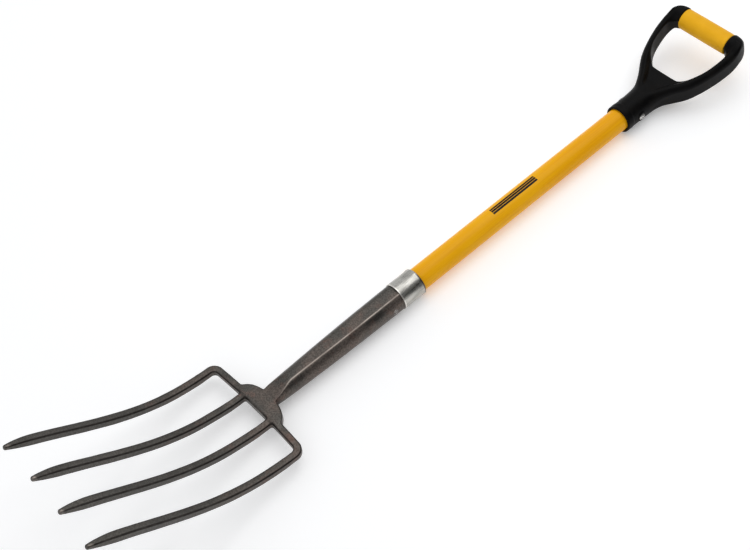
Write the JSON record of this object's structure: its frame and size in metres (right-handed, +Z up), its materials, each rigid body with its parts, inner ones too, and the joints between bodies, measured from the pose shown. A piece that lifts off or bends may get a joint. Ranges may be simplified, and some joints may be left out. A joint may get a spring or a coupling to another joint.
{
  "type": "digging fork",
  "caption": "Long-handled digging fork with dished square tines, forged socket, plated collar, yellow fibreglass shaft and a black D-shaped hand grip.",
  "frame": {"origin": "centre of the overall box, on the floor that the fork lies on", "axes": "+X across the head to the fork's right as its dished face is looked at with the grip at the top, +Y along the shaft towards the hand grip, +Z up, out of the dished face"},
  "size_m": [0.1742, 1.0893, 0.1563],
  "materials": {
    "forged_steel": "forged and lacquered, satin grey-brown",
    "zinc": "bright zinc plate",
    "rivet_steel": "plated, lightly burnished",
    "yellow_jacket": "smooth satin-gloss yellow",
    "fibreglass": "pultruded glass fibre, translucent straw",
    "plug_wood": "turned hardwood dowel",
    "black_moulding": "fine-grained black moulding",
    "yellow_grip": "smooth yellow grip"
  },
  "bodies": {
    "root": {"socket": "forged_steel", "shoulder": "forged_steel", "tine_outer_left": "forged_steel", "tine_inner_left": "forged_steel", "tine_inner_right": "forged_steel", "tine_outer_right": "forged_steel", "collar": "zinc", "socket_rivet": "rivet_steel", "shaft_jacket": "yellow_jacket", "shaft_tube": "fibreglass", "lower_plug": "plug_wood", "upper_plug": "plug_wood", "handle_yoke": "black_moulding", "grip_bar": "black_moulding", "grip_sleeve": "yellow_grip", "grip_rivet": "rivet_steel"}
  },
  "joints": []
}
